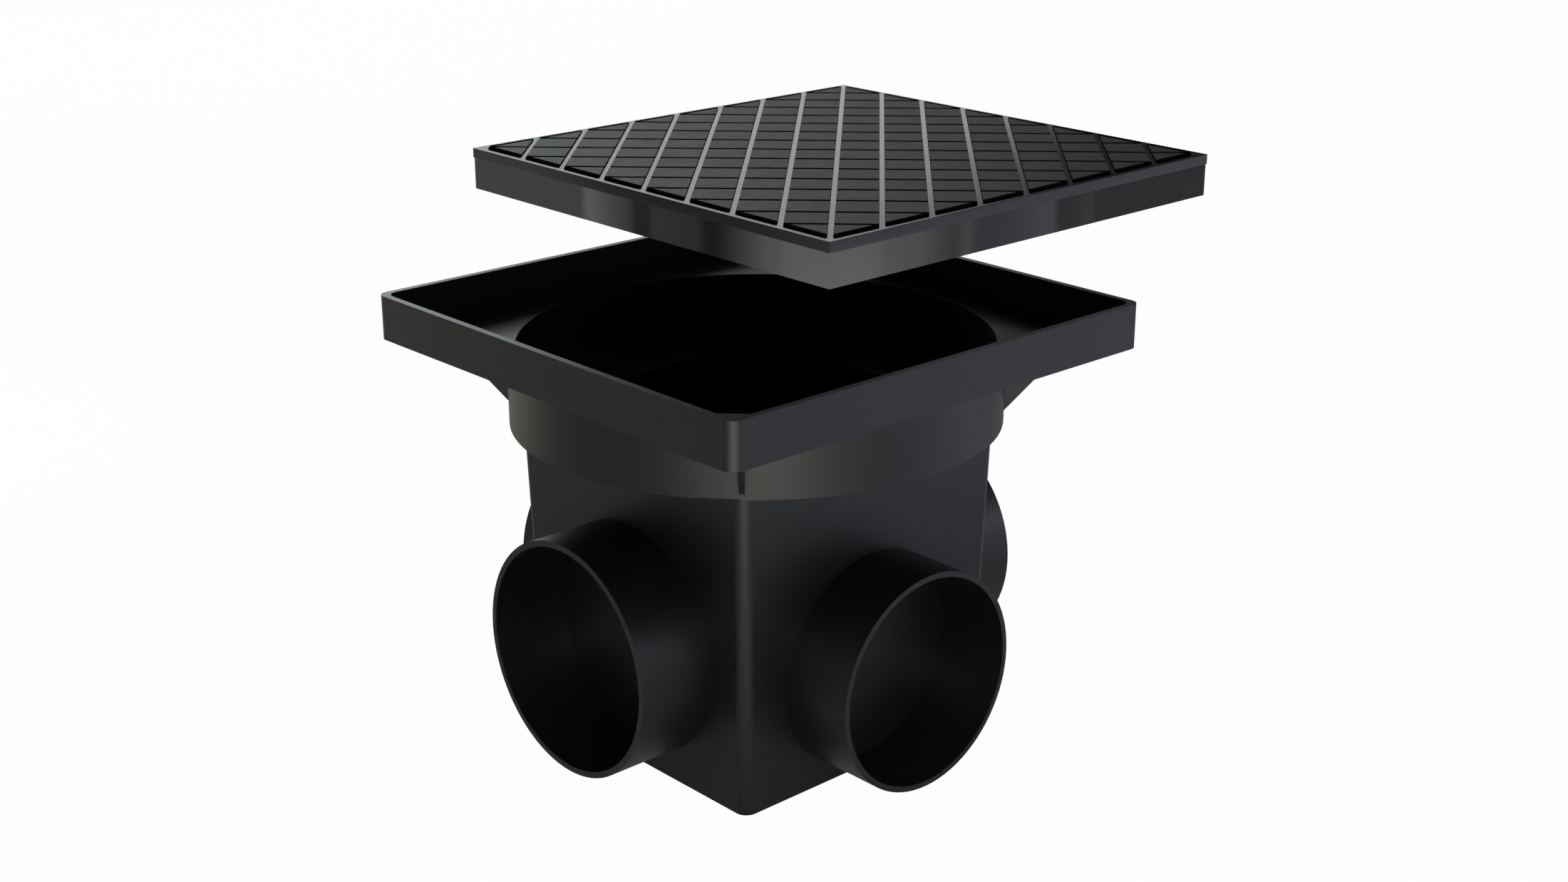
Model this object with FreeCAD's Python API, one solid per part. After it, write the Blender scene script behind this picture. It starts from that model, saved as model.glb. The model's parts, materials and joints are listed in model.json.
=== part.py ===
import FreeCAD, Part
import math
import os

from FreeCAD import Vector

# Square drain inspection chamber, moulded in black polypropylene, with its loose square cover.
# Sizes are in millimetres and +Z is up. The origin is the centre of the chamber's flat base.

# Overall sizes of the chamber
chamber_height = 253.0
frame_side = 300.0

# Square tray at the top that holds the cover
frame_wall = 4.0
frame_corner_radius = 6.8
frame_inner_radius = 6.5
frame_corner_web = 11.6
tray_floor = 3.0

# Round collar below the tray
hole_diameter = 267.5
collar_wall = 4.7
collar_depth = 66.5
collar_bottom_radius = 6.5
collar_floor = 3.5

# Square body with a slight draft
body_base_side = 182.0
body_draft_degrees = 1.42
body_wall = 3.5
body_edge_radius = 7.0
base_thickness = 4.0

# Pipe sizes that the side connections are made for
pipe_diameter = 125.0
spigot_wall = 3.2
socket_wall = 3.5
socket_clearance = 0.7
outlet_stop_step = 0.6

# Height of the pipe inverts above the underside of the base
inlet_invert = 14.2
outlet_invert = 7.9

# Reach of each pipe connection from the chamber's centre line
front_inlet_reach = 139.7
back_inlet_reach = 142.2
side_inlet_reach = 137.6
outlet_reach = 137.6

# Gusset fins under the corners of the tray
gusset_thickness = 2.8
gusset_reach = 34.0
gusset_drop = 38.0

# Cover with its anti-slip tread
cover_corner_clearance = 0.4
cover_edge_height = 5.4
cover_skin = 3.5
skirt_depth = 17.0
skirt_setback = 0.5
skirt_wall = 3.0
tread_height = 0.7
tread_gap = 2.8
tread_margin = 5.3
tread_overhang = 0.9
treads_per_half_diagonal = 8
rib_depth = 12.0
rib_thickness = 2.2
ribs_each_way = 7

# Where the cover has been lifted off to, above and beside the tray
cover_lift = 83.5
cover_shift_x = 33.2
cover_shift_y = 29.7

# Sizes that follow from the ones above
cover_side = frame_side - 2 * frame_wall - frame_corner_web - cover_corner_clearance
cover_height = cover_edge_height + skirt_depth
frame_height = cover_height + tray_floor
frame_underside = chamber_height - frame_height
collar_bore_radius = hole_diameter / 2
collar_radius = collar_bore_radius + collar_wall
collar_underside = chamber_height - collar_depth
draft_slope = math.tan(math.radians(body_draft_degrees))
spigot_radius = pipe_diameter / 2
socket_bore_radius = pipe_diameter / 2 + socket_clearance
socket_radius = socket_bore_radius + socket_wall
inlet_axis_height = inlet_invert + socket_bore_radius
outlet_axis_height = outlet_invert + spigot_radius - spigot_wall


def body_half_width(height):
    """Half of the body's outer width at a height above the base."""
    return body_base_side / 2 + height * draft_slope


def square_block(half, bottom, top):
    """Upright square block centred on the vertical axis."""
    return Part.makeBox(2 * half, 2 * half, top - bottom, Vector(-half, -half, bottom))


def vertical_edges(solid):
    """Edges of a solid that climb from its bottom to its top, upright or leaning."""
    height = solid.BoundBox.ZLength
    return [edge for edge in solid.Edges if edge.BoundBox.ZLength > 0.99 * height]


def drafted_block(inset, bottom, top, radius):
    """Square block that follows the body's draft, inset from its outer faces."""
    low = body_half_width(bottom) - inset
    high = body_half_width(top) - inset
    block = Part.makeWedge(-low, bottom, -low, -high, -high, low, top, low, high, high)
    block.rotate(Vector(0, 0, 0), Vector(1, 0, 0), 90)
    return block.makeFillet(radius, vertical_edges(block))


def cylinder_up(radius, bottom, top):
    """Upright cylinder on the vertical axis."""
    return Part.makeCylinder(radius, top - bottom, Vector(0, 0, bottom))


def cylinder_out(radius, start, end, height, direction):
    """Horizontal cylinder that runs outward from the vertical axis along a direction."""
    base = Vector(direction.x * start, direction.y * start, height)
    return Part.makeCylinder(radius, end - start, base, direction)


def tray_outer():
    """Outer block of the square tray, with rounded corners."""
    block = square_block(frame_side / 2, frame_underside, chamber_height)
    return block.makeFillet(frame_corner_radius, vertical_edges(block))


def tray_recess():
    """Space inside the tray, with two corners rounded and two cut flat to centre the cover."""
    block = square_block(frame_side / 2 - frame_wall, frame_underside + tray_floor, chamber_height)
    rounded = [edge for edge in vertical_edges(block)
               if edge.CenterOfMass.x * edge.CenterOfMass.y > 0]
    block = block.makeFillet(frame_inner_radius, rounded)
    flattened = [edge for edge in vertical_edges(block)
                 if edge.CenterOfMass.x * edge.CenterOfMass.y < 0]
    return block.makeChamfer(frame_corner_web, flattened)


def collar_outer():
    """Outer drum of the round collar, with its lower edge rounded."""
    drum = cylinder_up(collar_radius, collar_underside, chamber_height - tray_floor)
    rim = [edge for edge in drum.Edges
           if edge.Closed and edge.BoundBox.ZMax < collar_underside + tray_floor]
    return drum.makeFillet(collar_bottom_radius, rim)


def collar_recess():
    """Round space inside the collar, open through the tray's floor, with its lower edge cut off."""
    drum = cylinder_up(collar_bore_radius, collar_underside + collar_floor, chamber_height)
    rim = [edge for edge in drum.Edges
           if edge.Closed and edge.BoundBox.ZMax < collar_underside + collar_bottom_radius]
    return drum.makeChamfer(collar_floor / 2, rim)


def gusset(angle):
    """Thin triangular fin between the tray's underside and the collar, on a diagonal."""
    root = collar_radius - collar_wall / 2
    profile = Part.makePolygon([
        Vector(root, 0, frame_underside + tray_floor / 2),
        Vector(collar_radius + gusset_reach, 0, frame_underside + tray_floor / 2),
        Vector(collar_radius + gusset_reach, 0, frame_underside),
        Vector(collar_radius, 0, frame_underside - gusset_drop),
        Vector(root, 0, frame_underside - gusset_drop),
        Vector(root, 0, frame_underside + tray_floor / 2)])
    fin = Part.Face(profile).extrude(Vector(0, gusset_thickness, 0))
    fin.translate(Vector(0, -gusset_thickness / 2, 0))
    fin.rotate(Vector(0, 0, 0), Vector(0, 0, 1), angle)
    return fin


def connection(radius, bore_radius, height, reach, direction):
    """Pipe connection as a solid rod and its blind bore, whose flat end wall stays upright."""
    end = body_half_width(height - bore_radius)
    rod = cylinder_out(radius, end - body_wall, reach, height, direction)
    bore = cylinder_out(bore_radius, end, reach, height, direction)
    return rod, bore


def outlet_stop():
    """Low step around the root of the outlet, where the leaning body lets a socket stop square."""
    face = body_half_width(outlet_axis_height + spigot_radius)
    return cylinder_out(spigot_radius + outlet_stop_step, face - body_wall, face,
                        outlet_axis_height, Vector(1, 0, 0))


def make_chamber():
    """The whole chamber, which is one moulding."""
    body = drafted_block(0, 0, collar_underside + collar_floor, body_edge_radius)
    cavity = drafted_block(body_wall, base_thickness, collar_underside + collar_floor,
                           body_edge_radius - body_wall)
    inlets = [(Vector(0, -1, 0), front_inlet_reach),
              (Vector(0, 1, 0), back_inlet_reach),
              (Vector(-1, 0, 0), side_inlet_reach)]
    connections = [connection(socket_radius, socket_bore_radius, inlet_axis_height,
                              reach, direction)
                   for direction, reach in inlets]
    connections.append(connection(spigot_radius, spigot_radius - spigot_wall,
                                  outlet_axis_height, outlet_reach, Vector(1, 0, 0)))
    rods = [rod for rod, bore in connections]
    bores = [bore for rod, bore in connections]
    gussets = [gusset(angle) for angle in (45, 135, 225, 315)]
    outside = tray_outer().fuse([collar_outer(), body, outlet_stop()] + gussets + rods)
    inside = [tray_recess(), collar_recess(), cavity.cut(rods)] + bores
    return outside.cut(inside).removeSplitter()


def tread_pad(column, row, pitch, field):
    """One raised pad of the tread, cut off just past the outermost crossings of the grid."""
    side = pitch - tread_gap
    corner = Vector(column * pitch + tread_gap / 2, row * pitch + tread_gap / 2,
                    cover_height - cover_edge_height / 2)
    pad = Part.makeBox(side, side, cover_edge_height / 2 + tread_height, corner)
    pad.rotate(Vector(0, 0, 0), Vector(0, 0, 1), 45)
    if abs(column + 0.5) + abs(row + 0.5) < treads_per_half_diagonal:
        return pad
    return pad.common(field)


def tread_pads():
    """Diagonal grid of raised pads over the top of the cover."""
    field_half = cover_side / 2 - tread_margin
    pitch = field_half * math.sqrt(2) / treads_per_half_diagonal
    field = square_block(field_half + tread_overhang, 0, cover_height + tread_height)
    cells = range(-treads_per_half_diagonal, treads_per_half_diagonal)
    return [tread_pad(column, row, pitch, field)
            for column in cells for row in cells
            if abs(column + 0.5) + abs(row + 0.5) <= treads_per_half_diagonal]


def cover_ribs():
    """Stiffening ribs under the cover's skin, in both directions."""
    span = cover_side - 2 * skirt_setback - skirt_wall
    spacing = span / (ribs_each_way + 1)
    top = cover_height - cover_skin / 2
    bottom = cover_height - cover_skin - rib_depth
    ribs = []
    for number in range(ribs_each_way):
        offset = -span / 2 + (number + 1) * spacing - rib_thickness / 2
        ribs.append(Part.makeBox(span, rib_thickness, top - bottom,
                                 Vector(-span / 2, offset, bottom)))
        ribs.append(Part.makeBox(rib_thickness, span, top - bottom,
                                 Vector(offset, -span / 2, bottom)))
    return ribs


def make_cover():
    """The cover: edge band, set-back skirt, underside ribs and tread pads."""
    skirt_half = cover_side / 2 - skirt_setback
    band = square_block(cover_side / 2, skirt_depth, cover_height)
    skirt = square_block(skirt_half, 0, skirt_depth)
    hollow = square_block(skirt_half - skirt_wall, 0, cover_height - cover_skin)
    shell = band.fuse(skirt).cut(hollow)
    cover = shell.fuse(cover_ribs() + tread_pads()).removeSplitter()
    cover.translate(Vector(cover_shift_x, cover_shift_y,
                           chamber_height - cover_height + cover_lift))
    return cover


def main():
    """Build both pieces and write one STEP file for each."""
    os.makedirs("parts", exist_ok=True)
    for name, shape in (("chamber", make_chamber()), ("cover", make_cover())):
        solid = shape.Solids[0]
        print(name, len(shape.Solids), shape.isValid(), round(shape.Volume), solid.BoundBox)
        solid.exportStep(os.path.join("parts", name + ".step"))


main()
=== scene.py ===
import json
import logging
import math
from contextlib import contextmanager
from dataclasses import dataclass, field
from enum import Enum
from typing import Callable, Iterator

import bmesh
import bpy
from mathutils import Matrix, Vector

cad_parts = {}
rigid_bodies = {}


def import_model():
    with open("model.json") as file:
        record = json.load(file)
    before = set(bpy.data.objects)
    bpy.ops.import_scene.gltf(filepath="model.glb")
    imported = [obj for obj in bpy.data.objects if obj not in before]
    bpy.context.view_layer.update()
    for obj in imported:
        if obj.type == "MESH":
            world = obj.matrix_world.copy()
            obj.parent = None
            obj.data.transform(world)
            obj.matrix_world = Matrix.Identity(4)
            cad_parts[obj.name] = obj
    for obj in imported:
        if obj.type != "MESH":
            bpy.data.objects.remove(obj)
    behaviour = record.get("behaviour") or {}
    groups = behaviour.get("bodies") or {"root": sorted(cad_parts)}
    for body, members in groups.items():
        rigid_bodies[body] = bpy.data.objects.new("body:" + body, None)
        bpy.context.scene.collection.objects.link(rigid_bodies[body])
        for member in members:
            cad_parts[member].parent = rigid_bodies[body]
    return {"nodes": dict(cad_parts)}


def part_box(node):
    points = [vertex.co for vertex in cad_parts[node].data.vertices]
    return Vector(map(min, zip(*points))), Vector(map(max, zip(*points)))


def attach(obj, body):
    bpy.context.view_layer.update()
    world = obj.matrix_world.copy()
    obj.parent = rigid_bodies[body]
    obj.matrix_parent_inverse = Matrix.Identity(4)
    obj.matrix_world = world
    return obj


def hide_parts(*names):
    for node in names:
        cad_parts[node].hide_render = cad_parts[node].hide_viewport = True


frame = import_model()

# A black drain inspection chamber with its cover lifted off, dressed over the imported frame.
# Lengths are written in millimetres and turned into Blender's metres by MM.

MM = 0.001
log = logging.getLogger("drain_chamber")


class Side(Enum):
    """Side of the cover that a half pad lies along, with its turn about the vertical axis."""

    FRONT = 0
    RIGHT = 90
    BACK = 180
    LEFT = 270


class LampShape(Enum):
    """Outline of a soft light."""

    BOX = "RECTANGLE"
    OVAL = "ELLIPSE"
    SQUARE = "SQUARE"


class Slot(Enum):
    """Material slots of the record."""

    CHAMBER = "chamber_plastic"
    COVER = "cover_plastic"


# Modelling bench

def deselect_all() -> None:
    """Leave nothing selected, so that the next operator acts on its own piece only."""
    for thing in bpy.context.view_layer.objects:
        thing.select_set(False)


def make_active(piece: bpy.types.Object) -> None:
    """Select one piece and nothing else.

    Args:
        piece: The piece that the next operator acts on.
    """
    deselect_all()
    piece.select_set(True)
    bpy.context.view_layer.objects.active = piece


@contextmanager
def editing(piece: bpy.types.Object, mode: str = "FACE") -> Iterator[None]:
    """Open a piece in edit mode with nothing selected, and close it afterwards.

    Args:
        piece: The piece to work on.
        mode: Select mode, VERT, EDGE or FACE.

    Yields:
        Nothing; the piece stays open for the length of the block.
    """
    make_active(piece)
    bpy.ops.object.mode_set(mode="EDIT")
    bpy.ops.mesh.select_mode(type=mode)
    bpy.ops.mesh.select_all(action="DESELECT")
    yield
    bpy.ops.object.mode_set(mode="OBJECT")


def pick_faces(piece: bpy.types.Object, wanted: Callable[[bmesh.types.BMFace], bool]) -> int:
    """Select the faces that pass a test, in edit mode.

    Args:
        piece: The piece being edited.
        wanted: Test on a face's centre, normal or size.

    Returns:
        How many faces were picked.
    """
    bpy.ops.mesh.select_all(action="DESELECT")
    mesh = bmesh.from_edit_mesh(piece.data)
    picked = [face for face in mesh.faces if wanted(face)]
    for face in picked:
        face.select_set(True)
    bmesh.update_edit_mesh(piece.data)
    return len(picked)


def pick_edges(piece: bpy.types.Object, wanted: Callable[[bmesh.types.BMEdge], bool]) -> int:
    """Select the edges that pass a test, in edit mode.

    Args:
        piece: The piece being edited.
        wanted: Test on an edge's ends or faces.

    Returns:
        How many edges were picked.
    """
    bpy.ops.mesh.select_all(action="DESELECT")
    mesh = bmesh.from_edit_mesh(piece.data)
    picked = [edge for edge in mesh.edges if wanted(edge)]
    for edge in picked:
        edge.select_set(True)
    bmesh.update_edit_mesh(piece.data)
    return len(picked)


def is_upright(edge: bmesh.types.BMEdge) -> bool:
    """Tell whether an edge runs straight up.

    Args:
        edge: An edge of the piece being edited.

    Returns:
        True for an upright edge.
    """
    run = edge.verts[1].co - edge.verts[0].co
    return abs(run.z) > 0.99 * run.length


def add_block(name: str, low: Vector, high: Vector) -> bpy.types.Object:
    """Add a block between two corners, with its place in its mesh.

    Args:
        name: Name of the new piece.
        low: Lowest corner, in metres.
        high: Highest corner, in metres.

    Returns:
        The block, ready to be shaped.
    """
    deselect_all()
    bpy.ops.mesh.primitive_cube_add(size=1.0, location=(low + high) / 2, scale=high - low)
    block = bpy.context.active_object
    block.name = name
    bpy.ops.object.transform_apply(location=True, rotation=True, scale=True)
    return block


def copy_of(piece: bpy.types.Object, move: Vector) -> bpy.types.Object:
    """Copy a piece with its own mesh.

    Args:
        piece: The piece to copy.
        move: How far the copy lies from it.

    Returns:
        The copy.
    """
    twin = bpy.data.objects.new(piece.name + "_copy", piece.data.copy())
    bpy.context.scene.collection.objects.link(twin)
    twin.data.transform(twin.matrix_world.Translation(move))
    return twin


def join_all(name: str, pieces: list[bpy.types.Object]) -> bpy.types.Object:
    """Join pieces of one moulding into one object.

    Args:
        name: Name of the moulding.
        pieces: Its parts.

    Returns:
        The joined object.
    """
    make_active(pieces[0])
    for piece in pieces:
        piece.select_set(True)
    bpy.ops.object.join()
    whole = bpy.context.active_object
    whole.name = name
    return whole


def even_out_flats(piece: bpy.types.Object) -> None:
    """Let the large faces set a smooth piece's shading, so that flats look flat up to their rims.

    Args:
        piece: A piece that is shaded smooth and has its sharp edges marked.
    """
    make_active(piece)
    weighted = piece.modifiers.new("flat_faces", "WEIGHTED_NORMAL")
    weighted.mode = "FACE_AREA"
    weighted.keep_sharp = True
    bpy.ops.object.modifier_apply(modifier=weighted.name)


# Shader sheets and shared effects

@dataclass
class Sheet:
    """A node tree being drawn, with short ways to add and join nodes."""

    tree: bpy.types.NodeTree

    def add(self, kind: str, **settings: object) -> bpy.types.Node:
        """Add a node and set its properties.

        Args:
            kind: Blender's name for the kind of node.
            settings: Properties of the node by name.

        Returns:
            The new node.
        """
        node = self.tree.nodes.new(kind)
        for name, value in settings.items():
            setattr(node, name, value)
        return node

    def join(self, source: bpy.types.NodeSocket, target: bpy.types.NodeSocket) -> None:
        """Lead one socket into another.

        Args:
            source: Where the value comes from.
            target: Where it goes.
        """
        self.tree.links.new(source, target)

    def math(self, operation: str, first: object, second: object) -> bpy.types.NodeSocket:
        """Work out a number from two others.

        Args:
            operation: What to do with them, such as MULTIPLY.
            first: A socket or a number.
            second: A socket or a number.

        Returns:
            The socket with the result.
        """
        node = self.add("ShaderNodeMath", operation=operation)
        for socket, value in zip(node.inputs, (first, second)):
            if isinstance(value, bpy.types.NodeSocket):
                self.join(value, socket)
            else:
                socket.default_value = value
        return node.outputs[0]

    def spread(self, mask: bpy.types.NodeSocket, low: float, high: float) -> bpy.types.NodeSocket:
        """Turn a mask between nought and one into a number between two others.

        Args:
            mask: The mask.
            low: The number where the mask is nought.
            high: The number where the mask is one.

        Returns:
            The socket with the number.
        """
        node = self.add("ShaderNodeMapRange")
        self.join(mask, node.inputs["Value"])
        node.inputs["To Min"].default_value = low
        node.inputs["To Max"].default_value = high
        return node.outputs["Result"]


def new_effect(name: str, inputs: dict[str, float], outputs: tuple[str, ...]) -> Sheet:
    """Start a shader node group with named float sockets.

    Args:
        name: Name of the effect.
        inputs: Name and usual value of each input.
        outputs: Names of the outputs.

    Returns:
        The group's sheet, which has its input and output nodes already.
    """
    tree = bpy.data.node_groups.new(name, "ShaderNodeTree")
    kind = "NodeSocketFloat"
    for label, usual in inputs.items():
        socket = tree.interface.new_socket(name=label, in_out="INPUT", socket_type=kind)
        socket.default_value = usual
    for label in outputs:
        tree.interface.new_socket(name=label, in_out="OUTPUT", socket_type=kind)
    sheet = Sheet(tree)
    sheet.add("NodeGroupInput", name="given")
    sheet.add("NodeGroupOutput", name="made")
    return sheet


def mould_grain_effect() -> bpy.types.NodeTree:
    """Fine spark grain of the mould, and the cloudy sheen where the plastic flowed.

    Returns:
        A group with Grain and Clouds inputs, in patches a metre, and Height and Cloud outputs.
    """
    sheet = new_effect("mould_grain", {"Grain": 1400.0, "Clouds": 14.0}, ("Height", "Cloud"))
    given, made = sheet.tree.nodes["given"], sheet.tree.nodes["made"]
    place = sheet.add("ShaderNodeTexCoord").outputs["Object"]
    grain = sheet.add("ShaderNodeTexNoise")
    grain.inputs["Detail"].default_value = 2.0
    grain.inputs["Roughness"].default_value = 0.6
    clouds = sheet.add("ShaderNodeTexNoise")
    clouds.inputs["Detail"].default_value = 3.0
    clouds.inputs["Distortion"].default_value = 0.6
    for noise, socket in ((grain, "Grain"), (clouds, "Clouds")):
        sheet.join(place, noise.inputs["Vector"])
        sheet.join(given.outputs[socket], noise.inputs["Scale"])
    sheet.join(grain.outputs["Fac"], made.inputs["Height"])
    sheet.join(clouds.outputs["Fac"], made.inputs["Cloud"])
    return sheet.tree


def slate_effect() -> bpy.types.NodeTree:
    """Fine slanting streaks like split slate, which run along the cover's Y side.

    Returns:
        A group with a Fineness input, in streaks a metre, and Height and Streak outputs.
    """
    sheet = new_effect("slate_streaks", {"Fineness": 540.0}, ("Height", "Streak"))
    given, made = sheet.tree.nodes["given"], sheet.tree.nodes["made"]
    place = sheet.add("ShaderNodeTexCoord").outputs["Object"]
    stretch = sheet.add("ShaderNodeMapping")
    stretch.inputs["Rotation"].default_value = (0.0, 0.0, math.radians(6.0))
    stretch.inputs["Scale"].default_value = (1.0, 0.14, 1.0)
    sheet.join(place, stretch.inputs["Vector"])
    streaks = sheet.add("ShaderNodeTexNoise")
    streaks.inputs["Detail"].default_value = 5.0
    streaks.inputs["Roughness"].default_value = 0.62
    streaks.inputs["Distortion"].default_value = 0.35
    sheet.join(stretch.outputs["Vector"], streaks.inputs["Vector"])
    sheet.join(given.outputs["Fineness"], streaks.inputs["Scale"])
    sheet.join(streaks.outputs["Fac"], made.inputs["Height"])
    contrast = sheet.add("ShaderNodeMapRange", interpolation_type="SMOOTHSTEP")
    contrast.inputs["From Min"].default_value = 0.3
    contrast.inputs["From Max"].default_value = 0.7
    sheet.join(streaks.outputs["Fac"], contrast.inputs["Value"])
    sheet.join(contrast.outputs["Result"], made.inputs["Streak"])
    return sheet.tree


@dataclass
class Effects:
    """The shared effects, each built once."""

    grain: bpy.types.NodeTree = field(default_factory=mould_grain_effect)
    slate: bpy.types.NodeTree = field(default_factory=slate_effect)


# Finishes

@dataclass(frozen=True)
class MouldedPlastic:
    """Black polypropylene as it comes from a satin mould."""

    name: str
    colour: tuple[float, float, float]
    paler: tuple[float, float, float]
    roughness: float
    roughness_spread: float
    ior: float
    grain_depth: float
    grain: float = 1400.0
    clouds: float = 14.0
    gloss: float = 0.5

    def start(self) -> tuple[bpy.types.Material, Sheet, bpy.types.Node]:
        """Make the empty material with its shader and fixed values.

        Returns:
            The material, its sheet and its shader.
        """
        material = bpy.data.materials.new(self.name)
        material.use_nodes = True
        material.node_tree.nodes.clear()
        sheet = Sheet(material.node_tree)
        shader = sheet.add("ShaderNodeBsdfPrincipled")
        shader.inputs["IOR"].default_value = self.ior
        shader.inputs["Specular IOR Level"].default_value = self.gloss
        out = sheet.add("ShaderNodeOutputMaterial")
        sheet.join(shader.outputs["BSDF"], out.inputs["Surface"])
        return material, sheet, shader

    def tint(self, sheet: Sheet, mask: bpy.types.NodeSocket) -> bpy.types.NodeSocket:
        """Mix the dark and the paler tone by a mask.

        Args:
            sheet: The material's sheet.
            mask: Nought for the dark tone and one for the paler one.

        Returns:
            The socket with the colour.
        """
        mix = sheet.add("ShaderNodeMix", data_type="RGBA")
        sheet.join(mask, mix.inputs["Factor"])
        mix.inputs["A"].default_value = (*self.colour, 1.0)
        mix.inputs["B"].default_value = (*self.paler, 1.0)
        return mix.outputs["Result"]

    def build(self, effects: Effects) -> bpy.types.Material:
        """Build the material.

        Args:
            effects: The shared effects.

        Returns:
            The finished material.
        """
        material, sheet, shader = self.start()
        grain = sheet.add("ShaderNodeGroup", node_tree=effects.grain)
        grain.inputs["Grain"].default_value = self.grain
        grain.inputs["Clouds"].default_value = self.clouds
        cloud = grain.outputs["Cloud"]
        rough = sheet.spread(cloud, self.roughness - self.roughness_spread,
                             self.roughness + self.roughness_spread)
        sheet.join(rough, shader.inputs["Roughness"])
        sheet.join(self.tint(sheet, cloud), shader.inputs["Base Color"])
        bump = sheet.add("ShaderNodeBump")
        bump.inputs["Distance"].default_value = self.grain_depth * MM
        sheet.join(grain.outputs["Height"], bump.inputs["Height"])
        sheet.join(bump.outputs["Normal"], shader.inputs["Normal"])
        return material


@dataclass(frozen=True)
class SlatePlastic(MouldedPlastic):
    """The same plastic with the slate grain of the tread pads."""

    fineness: float = 540.0
    streak_depth: float = 0.006

    def build(self, effects: Effects) -> bpy.types.Material:
        """Build the material.

        Args:
            effects: The shared effects.

        Returns:
            The finished material.
        """
        material, sheet, shader = self.start()
        slate = sheet.add("ShaderNodeGroup", node_tree=effects.slate)
        slate.inputs["Fineness"].default_value = self.fineness
        grain = sheet.add("ShaderNodeGroup", node_tree=effects.grain)
        grain.inputs["Grain"].default_value = self.grain
        grain.inputs["Clouds"].default_value = self.clouds
        streak = slate.outputs["Streak"]
        rough = sheet.spread(streak, self.roughness + self.roughness_spread,
                             self.roughness - self.roughness_spread)
        sheet.join(rough, shader.inputs["Roughness"])
        sheet.join(self.tint(sheet, streak), shader.inputs["Base Color"])
        coarse = sheet.add("ShaderNodeBump")
        coarse.inputs["Distance"].default_value = self.streak_depth * MM
        sheet.join(slate.outputs["Height"], coarse.inputs["Height"])
        fine = sheet.add("ShaderNodeBump")
        fine.inputs["Distance"].default_value = self.grain_depth * MM
        sheet.join(grain.outputs["Height"], fine.inputs["Height"])
        sheet.join(coarse.outputs["Normal"], fine.inputs["Normal"])
        sheet.join(fine.outputs["Normal"], shader.inputs["Normal"])
        return material


BLACK = (0.0024, 0.0024, 0.0025)
PALER_BLACK = (0.0036, 0.0036, 0.0037)
POLYPROPYLENE_IOR = 1.45

CHAMBER_PLASTIC = MouldedPlastic(
    name="chamber_plastic", colour=BLACK, paler=PALER_BLACK,
    roughness=0.42, roughness_spread=0.03, ior=POLYPROPYLENE_IOR, grain_depth=0.003)
COVER_PLASTIC = MouldedPlastic(
    name="cover_plastic", colour=BLACK, paler=PALER_BLACK,
    roughness=0.16, roughness_spread=0.02, ior=POLYPROPYLENE_IOR, grain_depth=0.002)
TREAD_PLASTIC = SlatePlastic(
    name="tread_plastic", colour=(0.0040, 0.0045, 0.0046), paler=(0.0080, 0.0088, 0.0090),
    roughness=0.60, roughness_spread=0.04, ior=POLYPROPYLENE_IOR, grain_depth=0.003)
# Unglossy finish of the pads' sides, also laid on the strip along the tread's edge as painted
# shade, black like shade.
TREAD_SIDE_AND_PAINTED_SHADE = MouldedPlastic(
    name="tread_side_and_painted_shade", colour=(0.0050, 0.0051, 0.0053), paler=(0.0080, 0.0081, 0.0084),
    roughness=0.60, roughness_spread=0.04, ior=POLYPROPYLENE_IOR, grain_depth=0.003, gloss=0.0)


# The two mouldings

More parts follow.
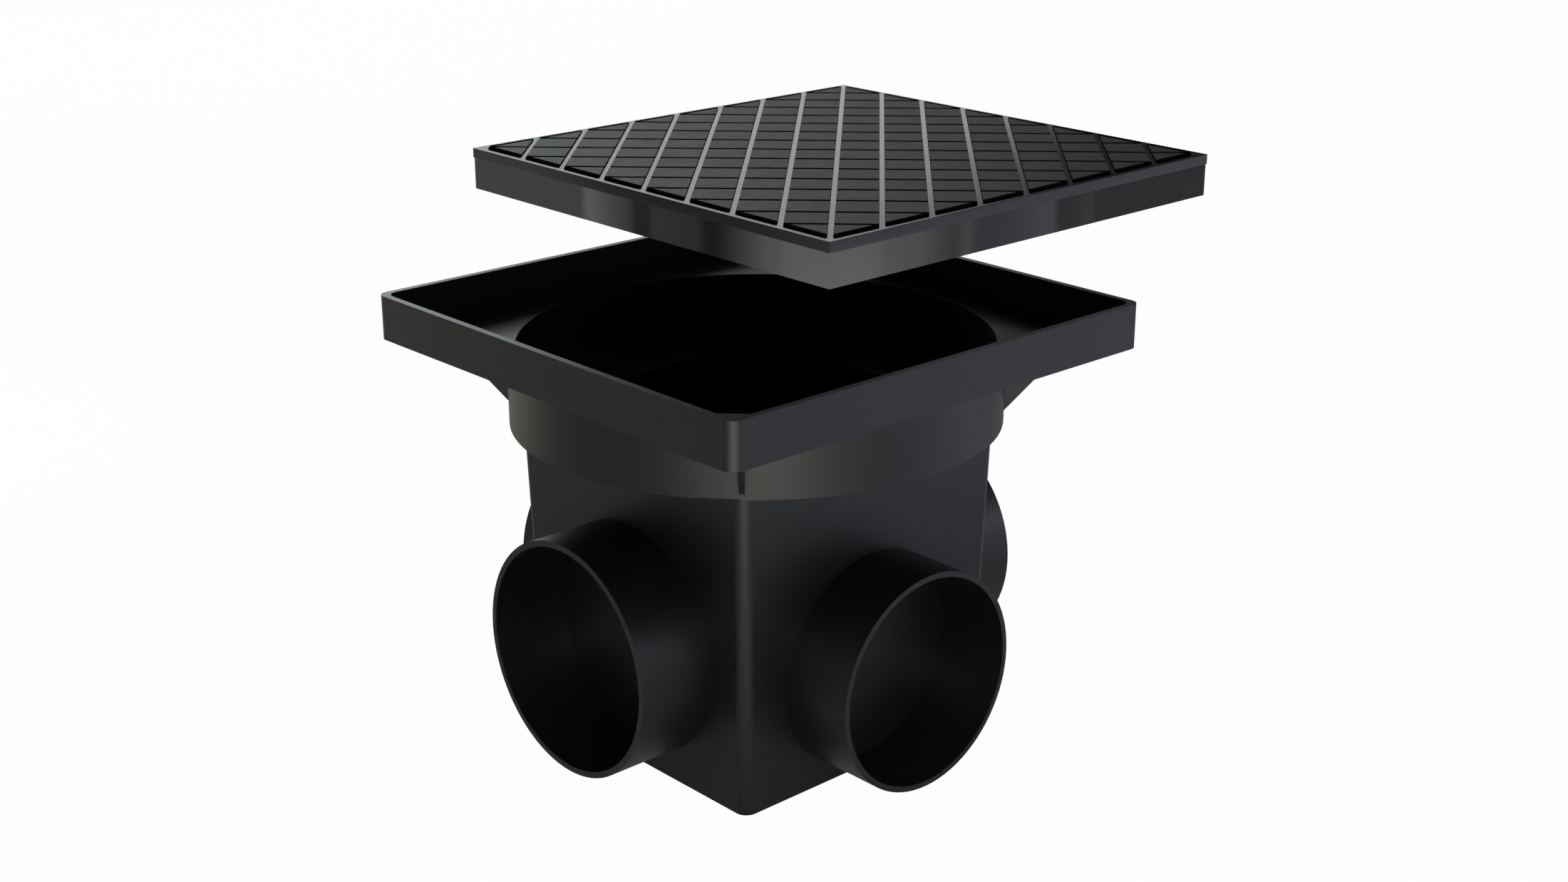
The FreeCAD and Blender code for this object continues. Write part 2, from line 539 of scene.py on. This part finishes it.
@dataclass
class Cover:
    """The cover: edge band, set-back skirt, underside ribs and a tread of raised pads."""

    low: Vector
    high: Vector
    band_height: float = 5.4 * MM
    skin: float = 3.5 * MM
    skirt_setback: float = 0.5 * MM
    skirt_wall: float = 3.0 * MM
    edge_softness: float = 0.3 * MM
    tread_height: float = 0.7 * MM
    tread_gap: float = 2.6 * MM
    tread_margin: float = 5.3 * MM
    tread_overhang: float = 0.9 * MM
    # The cut pads' tops between tread_margin and slate_margin carry painted shade: the unglossy
    # side finish, not slate.
    slate_margin: float = 7.6 * MM
    pad_rows: int = 8
    pad_draft: float = 0.18 * MM
    pad_corner: float = 0.3 * MM
    pad_edge: float = 0.08 * MM
    pad_sink: float = 0.175 * MM
    pad_turn: float = math.radians(45)
    pad_crease: float = math.radians(30)
    crease: float = math.radians(35)
    rib_depth: float = 12.0 * MM
    rib_thickness: float = 2.2 * MM
    ribs_each_way: int = 7

    @property
    def centre(self) -> Vector:
        """Centre of the plate's top face."""
        middle = (self.low + self.high) / 2
        return Vector((middle.x, middle.y, self.high.z - self.tread_height))

    @property
    def half(self) -> float:
        """Half of the cover's side."""
        return (self.high.x - self.low.x) / 2

    @property
    def pitch(self) -> float:
        """Distance between two pads along a row."""
        return (self.half - self.tread_margin) * math.sqrt(2) / self.pad_rows

    def shell(self) -> bpy.types.Object:
        """Draw the band down into the skirt, and hollow it from below.

        Returns:
            The cover without its ribs and tread.
        """
        top = self.centre.z
        underside = top - self.band_height
        low = Vector((self.low.x, self.low.y, underside))
        shell = add_block("cover_shell", low, Vector((self.high.x, self.high.y, top)))
        with editing(shell):
            pick_faces(shell, lambda face: face.normal.z < -0.5)
            bpy.ops.mesh.inset(thickness=self.skirt_setback)
            self.draw(self.low.z - underside)
            bpy.ops.mesh.inset(thickness=self.skirt_wall)
            self.draw(top - self.skin - self.low.z)
        self.soften_band(shell)
        return shell

    @staticmethod
    def draw(height: float) -> None:
        """Extrude the picked face straight up or down.

        Args:
            height: How far it goes up, or down if less than nought.
        """
        bpy.ops.mesh.extrude_region_move(TRANSFORM_OT_translate={"value": (0.0, 0.0, height)})

    def soften_band(self, shell: bpy.types.Object) -> None:
        """Round the band's outer edges a little, and shade the skirt softly round its corners.

        Args:
            shell: The cover without its ribs and tread.
        """
        reach = self.half - self.skirt_setback / 2
        middle = self.centre

        def on_band(edge: bmesh.types.BMEdge) -> bool:
            ends = [vert.co - middle for vert in edge.verts]
            return all(max(abs(end.x), abs(end.y)) > reach for end in ends)

        with editing(shell, "EDGE"):
            pick_edges(shell, on_band)
            bpy.ops.mesh.bevel(offset=self.edge_softness, segments=2, affect="EDGES")
            bpy.ops.mesh.select_all(action="SELECT")
            bpy.ops.mesh.faces_shade_smooth()
            skirt_top = middle.z - self.band_height - self.skirt_setback / 2
            pick_edges(shell, lambda edge: self.is_crease(edge, skirt_top))
            bpy.ops.mesh.mark_sharp()

    def is_crease(self, edge: bmesh.types.BMEdge, skirt_top: float) -> bool:
        """Tell whether an edge stays sharp, as all real corners but the skirt's upright ones do.

        Args:
            edge: An edge of the shell.
            skirt_top: Height of the skirt's upper end.

        Returns:
            True for an edge that stays sharp.
        """
        if len(edge.link_faces) < 2 or edge.calc_face_angle() < self.crease:
            return False
        outer = self.half - self.skirt_setback - self.skirt_wall / 2
        offset = edge.verts[0].co - self.centre
        on_skirt = max(abs(offset.x), abs(offset.y)) > outer
        below = all(vert.co.z < skirt_top + self.skirt_setback for vert in edge.verts)
        return not (is_upright(edge) and on_skirt and below)

    def rib(self, along: Vector) -> bpy.types.Object:
        """Model one underside rib with softened lower edges, through the cover's centre.

        Args:
            along: Direction that it runs in, X or Y.

        Returns:
            The rib.
        """
        span = self.half - self.skirt_setback - self.skirt_wall / 2
        top = self.centre.z - self.skin / 2
        bottom = self.centre.z - self.skin - self.rib_depth
        across = Vector((along.y, along.x, 0.0)) * self.rib_thickness / 2
        reach = along * span + across
        base = Vector((self.centre.x, self.centre.y, 0.0))
        rib = add_block("cover_rib", base - reach + Vector((0, 0, bottom)),
                        base + reach + Vector((0, 0, top)))
        with editing(rib, "EDGE"):
            pick_edges(rib, lambda edge: all(vert.co.z < bottom + MM for vert in edge.verts))
            bpy.ops.mesh.bevel(offset=self.edge_softness, segments=2, affect="EDGES")
        return rib

    def ribs(self) -> list[bpy.types.Object]:
        """Copy the rib over the underside in both directions.

        Returns:
            All the ribs.
        """
        span = 2 * (self.half - self.skirt_setback) - self.skirt_wall
        spacing = span / (self.ribs_each_way + 1)
        made = []
        for along, across in ((Vector((1, 0, 0)), Vector((0, 1, 0))),
                              (Vector((0, 1, 0)), Vector((1, 0, 0)))):
            pattern = self.rib(along)
            for number in range(self.ribs_each_way):
                made.append(copy_of(pattern, across * (-span / 2 + (number + 1) * spacing)))
            bpy.data.objects.remove(pattern)
        return made

    @property
    def tread_top(self) -> float:
        """Height of the pads' tops."""
        return self.centre.z + self.tread_height

    def pad_block(self) -> bpy.types.Object:
        """Start a pad at the cover's centre, with leaning sides, turned to stand on its corner.

        Returns:
            The pad, with sharp edges.
        """
        reach = (self.pitch - self.tread_gap) / 2
        corner = Vector((reach, reach, 0.0))
        foot = self.centre - Vector((0, 0, self.pad_sink))
        pad = add_block("tread_pad", foot - corner,
                        foot + corner + Vector((0, 0, self.tread_height + self.pad_sink)))
        shrink = 1 - self.pad_draft / reach
        with editing(pad):
            pick_faces(pad, lambda face: face.normal.z > 0.5)
            bpy.ops.transform.resize(value=(shrink, shrink, 1.0), center_override=self.centre)
            bpy.ops.mesh.select_all(action="SELECT")
            bpy.ops.transform.rotate(value=self.pad_turn, orient_axis="Z",
                                     center_override=self.centre)
        return pad

    @staticmethod
    def dress_pad(pad: bpy.types.Object, slate_from: float, tread: bpy.types.Material,
                  side: bpy.types.Material) -> None:
        """Give a pad its plain sides and its slate top.

        Args:
            pad: The pad.
            slate_from: Where along Y the slate grain starts; tops short of it get the side finish
                as painted shade.
            tread: Finish of the slate top.
            side: Finish of the sides, also laid on the strip along the tread's edge as painted
                shade.
        """
        pad.data.materials.append(side)
        pad.data.materials.append(tread)
        for face in pad.data.polygons:
            face.material_index = int(face.normal.z > 0.9 and face.center.y > slate_from)

    def soften_pad(self, pad: bpy.types.Object) -> None:
        """Round a pad's upright corners, then its top rim.

        Args:
            pad: A pad with sharp edges.
        """
        rim_height = self.tread_top - self.pad_edge / 2

        def climbs(edge: bmesh.types.BMEdge) -> bool:
            return abs(edge.verts[1].co.z - edge.verts[0].co.z) > self.tread_height

        def is_rim(edge: bmesh.types.BMEdge) -> bool:
            return all(vert.co.z > rim_height for vert in edge.verts)

        with editing(pad, "EDGE"):
            pick_edges(pad, climbs)
            bpy.ops.mesh.bevel(offset=self.pad_corner, segments=2, affect="EDGES")
            pick_edges(pad, is_rim)
            bpy.ops.mesh.bevel(offset=self.pad_edge, segments=1, affect="EDGES")
        bpy.ops.object.shade_smooth_by_angle(angle=self.pad_crease)

    def whole_pad(self, tread: bpy.types.Material, side: bpy.types.Material) -> bpy.types.Object:
        """Finish a whole pad at the cover's centre.

        Args:
            tread: Finish of the slate top.
            side: Finish of the sides.

        Returns:
            The pad.
        """
        pad = self.pad_block()
        self.soften_pad(pad)
        self.dress_pad(pad, self.low.y, tread, side)
        return pad

    def cut_pad(self, edge: Side, tread: bpy.types.Material,
                side: bpy.types.Material) -> bpy.types.Object:
        """Cut a pad just past its middle, for one side of the cover.

        Args:
            edge: Side of the cover that it lies along.
            tread: Finish of the slate top.
            side: Finish of the sides, also laid on the strip along the cover's edge as painted
                shade.

        Returns:
            The cut pad, at the cover's centre.
        """
        pad = self.pad_block()
        end = self.centre - Vector((0, self.tread_overhang, 0))
        with editing(pad):
            bpy.ops.mesh.select_all(action="SELECT")
            bpy.ops.mesh.bisect(plane_co=end, plane_no=(0.0, -1.0, 0.0),
                                use_fill=True, clear_outer=True)
        self.soften_pad(pad)
        # The top from here out to the tread's edge gets the unglossy side finish: painted shade, a
        # black strip standing in for the shade along the cut pads' outer edges.
        line = self.centre + Vector((0, self.slate_margin - self.tread_margin, 0))
        with editing(pad):
            pick_faces(pad, lambda face: face.normal.z > 0.9)
            bpy.ops.mesh.bisect(plane_co=line, plane_no=(0.0, -1.0, 0.0))
        self.dress_pad(pad, line.y, tread, side)
        with editing(pad):
            bpy.ops.mesh.select_all(action="SELECT")
            bpy.ops.transform.rotate(value=math.radians(-edge.value), orient_axis="Z",
                                     center_override=self.centre)
        return pad

    def tread(self, tread: bpy.types.Material, side: bpy.types.Material) -> bpy.types.Object:
        """Lay whole pads over the tread and cut pads along its four sides.

        Args:
            tread: Finish of the pads' tops.
            side: Finish of their sides, also painted shade on the cut pads' edge strips.

        Returns:
            The tread as one object.
        """
        whole = self.whole_pad(tread, side)
        cut = {edge: self.cut_pad(edge, tread, side) for edge in Side}
        laid = []
        for column in range(-self.pad_rows, self.pad_rows):
            for row in range(-self.pad_rows, self.pad_rows):
                across, up = column + 0.5, row + 0.5
                rank = abs(across) + abs(up)
                if rank > self.pad_rows:
                    continue
                step = self.pitch / math.sqrt(2)
                move = Vector(((across - up) * step, (across + up) * step, 0.0))
                pattern = whole if rank < self.pad_rows else cut[self.side_of(move)]
                laid.append(copy_of(pattern, move))
        for pattern in (whole, *cut.values()):
            bpy.data.objects.remove(pattern)
        return join_all("cover_tread", laid)

    @staticmethod
    def side_of(move: Vector) -> Side:
        """Tell which side of the cover a place on the edge of the tread belongs to.

        Args:
            move: The place, from the cover's centre.

        Returns:
            The side.
        """
        if abs(move.y) > abs(move.x):
            return Side.BACK if move.y > 0 else Side.FRONT
        return Side.RIGHT if move.x > 0 else Side.LEFT

    def build(self, body: bpy.types.Material, tread: bpy.types.Material,
              side: bpy.types.Material) -> bpy.types.Object:
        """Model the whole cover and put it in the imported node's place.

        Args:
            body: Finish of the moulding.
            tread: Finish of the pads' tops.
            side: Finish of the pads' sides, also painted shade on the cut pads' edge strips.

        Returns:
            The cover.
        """
        parts = [self.shell(), *self.ribs()]
        for part in parts:
            part.data.materials.append(body)
        cover = join_all("cover_moulding", [*parts, self.tread(tread, side)])
        even_out_flats(cover)
        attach(cover, "root")
        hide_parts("cover")
        return cover


@dataclass
class Chamber:
    """The chamber moulding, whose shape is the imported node's, with softened edges.

    The node's collar is rounded along its lower edge. The photograph shows that edge square.
    """

    node: str = "chamber"
    collar_radius: float = 138.45 * MM
    collar_underside: float = 186.5 * MM
    collar_rounding: float = 6.5 * MM
    rounding_start: float = 0.6 * MM
    rounding_slack: float = 0.15 * MM
    edge_softness: float = 0.4 * MM
    crease: float = math.radians(35)
    flatness: float = math.radians(0.2)
    node_weld: float = 0.001 * MM
    collar_weld: float = 0.02 * MM

    def merged_copy(self) -> bpy.types.Object:
        """Copy the node's mesh, weld its loose triangles and clear the lines on its flats.

        Returns:
            The copy.
        """
        source = frame["nodes"][self.node]
        piece = bpy.data.objects.new("chamber_moulding", source.data.copy())
        bpy.context.scene.collection.objects.link(piece)
        with editing(piece, "VERT"):
            bpy.ops.mesh.select_all(action="SELECT")
            bpy.ops.mesh.remove_doubles(threshold=self.node_weld)
            bpy.ops.mesh.dissolve_limited(angle_limit=self.flatness)
        return piece

    def on_rounding(self, spot: Vector) -> bool:
        """Tell whether a point lies on the rounded lower edge of the collar.

        Args:
            spot: A corner of the mesh.

        Returns:
            True on the rounding.
        """
        fall = self.collar_underside + self.collar_rounding - spot.z
        if not 0.0 < fall < self.collar_rounding:
            return False
        inner = self.collar_radius - self.collar_rounding
        reach = math.hypot(spot.x, spot.y)
        curve = inner + math.sqrt(self.collar_rounding ** 2 - fall ** 2)
        return reach > inner + self.rounding_start and abs(reach - curve) < self.rounding_slack

    def square_collar(self, piece: bpy.types.Object) -> None:
        """Push the rounding out to the collar's wall, so that its lower edge is square.

        Args:
            piece: The copy of the node.
        """
        with editing(piece, "VERT"):
            mesh = bmesh.from_edit_mesh(piece.data)
            rounded = [vert for vert in mesh.verts if self.on_rounding(vert.co)]
            lowest = min(vert.co.z for vert in rounded)
            for vert in rounded:
                stretch = self.collar_radius / math.hypot(vert.co.x, vert.co.y)
                if vert.co.z < lowest + self.collar_weld / 2:
                    vert.co.z = self.collar_underside
                vert.co.x *= stretch
                vert.co.y *= stretch
            bmesh.update_edit_mesh(piece.data)
            bpy.ops.mesh.select_all(action="SELECT")
            bpy.ops.mesh.remove_doubles(threshold=self.collar_weld)
            bpy.ops.mesh.dissolve_limited(angle_limit=self.flatness)

    def soften(self, piece: bpy.types.Object) -> None:
        """Round the moulding's sharp edges and smooth its curved walls.

        Args:
            piece: The moulding.
        """
        make_active(piece)
        bevel = piece.modifiers.new("soft_edges", "BEVEL")
        bevel.width = self.edge_softness
        bevel.segments = 2
        bevel.limit_method = "ANGLE"
        bevel.angle_limit = self.crease
        bpy.ops.object.modifier_apply(modifier=bevel.name)
        bpy.ops.object.shade_smooth_by_angle(angle=self.crease)
        even_out_flats(piece)

    def build(self, body: bpy.types.Material) -> bpy.types.Object:
        """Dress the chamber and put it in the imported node's place.

        Args:
            body: Finish of the moulding.

        Returns:
            The chamber.
        """
        piece = self.merged_copy()
        self.square_collar(piece)
        self.soften(piece)
        piece.data.materials.clear()
        piece.data.materials.append(body)
        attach(piece, "root")
        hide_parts(self.node)
        return piece


# Studio

def direction(azimuth: float, elevation: float) -> Vector:
    """Point away from the object, where azimuth nought is in front and ninety is to its right.

    Args:
        azimuth: Turn from minus Y towards plus X, in degrees.
        elevation: Rise above the floor, in degrees.

    Returns:
        A unit vector.
    """
    turn, rise = math.radians(azimuth), math.radians(elevation)
    level = math.cos(rise)
    return Vector((math.sin(turn) * level, -math.cos(turn) * level, math.sin(rise)))


def new_lamp(name: str, shape: LampShape, size: tuple[float, float], power: float,
             tint: tuple[float, float, float]) -> bpy.types.Object:
    """Make a soft light that the camera doesn't see, facing down at the scene's origin.

    Args:
        name: Name of the light.
        shape: Its outline.
        size: Its width and height, in metres.
        power: Its power, in watts.
        tint: Its colour.

    Returns:
        The lamp, to be put in its place.
    """
    lamp = bpy.data.lights.new(name, "AREA")
    lamp.shape = shape.value
    lamp.size, lamp.size_y = size
    lamp.energy = power
    lamp.color = tint
    holder = bpy.data.objects.new(name, lamp)
    bpy.context.scene.collection.objects.link(holder)
    holder.visible_camera = False
    return holder


@dataclass(frozen=True)
class SoftBox:
    """A soft light that hangs round the object and faces it."""

    name: str
    azimuth: float
    elevation: float
    distance: float
    width: float
    height: float
    power: float
    tint: tuple[float, float, float] = (1.0, 1.0, 1.0)
    shape: LampShape = LampShape.BOX

    def hang(self, aim: Vector) -> bpy.types.Object:
        """Hang the light round a point and turn it towards that point.

        Args:
            aim: What it lights.

        Returns:
            The lamp.
        """
        lamp = new_lamp(self.name, self.shape, (self.width, self.height), self.power, self.tint)
        away = direction(self.azimuth, self.elevation)
        lamp.location = aim + away * self.distance
        lamp.rotation_euler = away.to_track_quat("Z", "Y").to_euler()
        return lamp


@dataclass(frozen=True)
class FloorPool:
    """A small light above the floor, facing down, whose pool the object's lower walls mirror."""

    name: str
    azimuth: float
    power: float
    tint: tuple[float, float, float] = (1.0, 1.0, 1.0)
    reach: float = 0.85
    height: float = 0.25
    size: float = 0.34

    def hang(self, aim: Vector) -> bpy.types.Object:
        """Hang the light over the floor, off to one side of the object's upright axis.

        Args:
            aim: Not used; this light faces straight down, not at the middle of the picture.

        Returns:
            The lamp.
        """
        lamp = new_lamp(self.name, LampShape.SQUARE, (self.size, self.size), self.power, self.tint)
        away = direction(self.azimuth, 0.0)
        lamp.location = (away.x * self.reach, away.y * self.reach, self.height)
        return lamp


LIGHTS = (
    SoftBox("back_oval", 246.0, 9.5, 3.0, 3.22, 1.54, 12.3, (0.96, 0.98, 1.0), LampShape.OVAL),
    SoftBox("back_glow", 233.0, 24.0, 3.05, 0.942, 0.34, 0.6),
    SoftBox("back_left_box", 253.0, 23.5, 3.05, 1.047, 0.34, 11.5, (0.84, 0.99, 1.0)),
    SoftBox("high_back_box", 242.0, 30.5, 3.0, 2.094, 0.576, 6.5),
    SoftBox("back_sky", 233.5, 49.0, 3.0, 2.985, 1.152, 1.4),
    SoftBox("overhead_box", 60.0, 75.0, 2.2, 1.6, 1.6, 5.0, (0.6, 0.85, 1.0)),
    SoftBox("left_box", -20.0, 25.0, 2.6, 1.4, 1.4, 0.35, (1.0, 0.85, 0.3)),
    SoftBox("far_right_box", 150.0, 15.0, 2.6, 1.4, 1.0, 2.6, (0.85, 0.95, 1.0)),
    SoftBox("low_front_box", 47.0, 1.5, 0.605, 0.3, 0.2, 0.10),
    SoftBox("low_front_box_2", 47.0, 1.5, 0.61, 0.5, 0.2, 0.20),
    SoftBox("low_front_box_3", 47.0, 1.5, 0.615, 0.66, 0.2, 0.19),
    SoftBox("low_front_box_4", 47.0, 1.5, 0.62, 0.84, 0.2, 0.22),
    SoftBox("low_front_box_5", 47.0, 1.5, 0.625, 1.05, 0.2, 0.22),
    SoftBox("low_right_box", 85.0, 1.5, 0.95, 0.5, 0.3, 0.35),
    SoftBox("low_far_right_box", 120.0, 1.5, 0.9, 0.9, 0.3, 0.6, (0.84, 0.88, 1.0)),
    SoftBox("low_left_box", -20.0, 1.5, 0.9, 0.5, 0.3, 0.21, (1.0, 0.98, 0.98)),
    SoftBox("low_far_left_box", -63.0, 1.5, 0.9, 0.5, 0.3, 0.17, (1.0, 0.94, 0.96)),
    FloorPool("front_pool", 50.0, 6.2, (1.0, 0.94, 0.82)),
    FloorPool("right_pool", 110.0, 0.8, (0.71, 0.72, 1.0)),
    FloorPool("far_right_pool", 140.0, 1.5, (0.75, 0.79, 1.0)),
    FloorPool("left_pool", -75.0, 0.7, (1.0, 0.88, 0.6)),
)


@dataclass
class Studio:
    """Pale floor, white surroundings and soft lights."""

    aim: Vector
    lights: tuple[SoftBox | FloorPool, ...] = LIGHTS
    floor_size: float = 14.0
    floor_drop: float = 0.5 * MM
    floor_colour: float = 0.8
    floor_glow: float = 0.985
    floor_glow_in_gloss: float = 0.065
    surround: float = 0.05

    def floor(self) -> bpy.types.Object:
        """Lay the floor, which keeps the object's shadow and looks white to the camera.

        Returns:
            The floor.
        """
        deselect_all()
        bpy.ops.mesh.primitive_plane_add(size=self.floor_size, location=(0, 0, -self.floor_drop))
        floor = bpy.context.active_object
        floor.name = "studio_floor"
        bpy.ops.object.transform_apply(location=True)
        material = bpy.data.materials.new("floor_paper")
        material.use_nodes = True
        material.node_tree.nodes.clear()
        sheet = Sheet(material.node_tree)
        paper = sheet.add("ShaderNodeBsdfDiffuse")
        paper.inputs["Color"].default_value = (self.floor_colour,) * 3 + (1.0,)
        glow = sheet.add("ShaderNodeEmission")
        rays = sheet.add("ShaderNodeLightPath")
        seen = sheet.math("MULTIPLY", rays.outputs["Is Camera Ray"], self.floor_glow)
        gloss = sheet.math("MULTIPLY", rays.outputs["Is Glossy Ray"], self.floor_glow_in_gloss)
        through = sheet.math("MULTIPLY", rays.outputs["Is Transmission Ray"], self.floor_glow)
        share = sheet.math("MAXIMUM", sheet.math("MAXIMUM", seen, gloss), through)
        mix = sheet.add("ShaderNodeMixShader")
        sheet.join(share, mix.inputs[0])
        sheet.join(paper.outputs[0], mix.inputs[1])
        sheet.join(glow.outputs[0], mix.inputs[2])
        sheet.join(mix.outputs[0], sheet.add("ShaderNodeOutputMaterial").inputs["Surface"])
        floor.data.materials.append(material)
        return floor

    def surroundings(self) -> bpy.types.World:
        """Put white behind the object for the camera, and a soft grey round it for the light.

        Returns:
            The scene's world.
        """
        world = bpy.data.worlds.new("studio_surround")
        bpy.context.scene.world = world
        world.use_nodes = True
        world.node_tree.nodes.clear()
        sheet = Sheet(world.node_tree)
        rays = sheet.add("ShaderNodeLightPath")
        level = sheet.spread(rays.outputs["Is Camera Ray"], self.surround, 1.0)
        sky = sheet.add("ShaderNodeBackground")
        sheet.join(level, sky.inputs["Strength"])
        sheet.join(sky.outputs[0], sheet.add("ShaderNodeOutputWorld").inputs["Surface"])
        return world

    def build(self) -> None:
        """Set up the floor, the surroundings and the lights."""
        self.floor()
        self.surroundings()
        for light in self.lights:
            light.hang(self.aim)


@dataclass(frozen=True)
class PhotoCamera:
    """The photograph's viewpoint: a 50 mm lens on a full frame, seen from above one corner."""

    aim: tuple[float, float, float] = (9.255 * MM, 12.365 * MM, 168.597 * MM)
    azimuth: float = 47.386
    elevation: float = 19.536
    distance: float = 1233.555 * MM
    lens: float = 49.925
    sensor_width: float = 36.0

    def place(self) -> bpy.types.Object:
        """Create the camera and make it the scene's own.

        Returns:
            The camera.
        """
        data = bpy.data.cameras.new("photo_camera")
        data.lens = self.lens
        data.sensor_width = self.sensor_width
        camera = bpy.data.objects.new("photo_camera", data)
        bpy.context.scene.collection.objects.link(camera)
        away = direction(self.azimuth, self.elevation)
        camera.location = Vector(self.aim) + away * self.distance
        camera.rotation_euler = away.to_track_quat("Z", "Y").to_euler()
        bpy.context.scene.camera = camera
        return camera


def main() -> None:
    """Dress both mouldings, set up the studio and place the camera."""
    logging.basicConfig(level=logging.INFO, format="%(name)s: %(message)s")
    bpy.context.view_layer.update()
    effects = Effects()
    chamber = Chamber().build(CHAMBER_PLASTIC.build(effects))
    log.info("chamber has %d faces", len(chamber.data.polygons))
    low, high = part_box("cover")
    finishes = [finish.build(effects)
                for finish in (COVER_PLASTIC, TREAD_PLASTIC, TREAD_SIDE_AND_PAINTED_SHADE)]
    cover = Cover(Vector(low), Vector(high)).build(*finishes)
    log.info("cover has %d faces", len(cover.data.polygons))
    camera = PhotoCamera()
    camera.place()
    Studio(aim=Vector(camera.aim)).build()
    bpy.context.scene.view_settings.view_transform = "Standard"


if __name__ == "__main__":
    main()
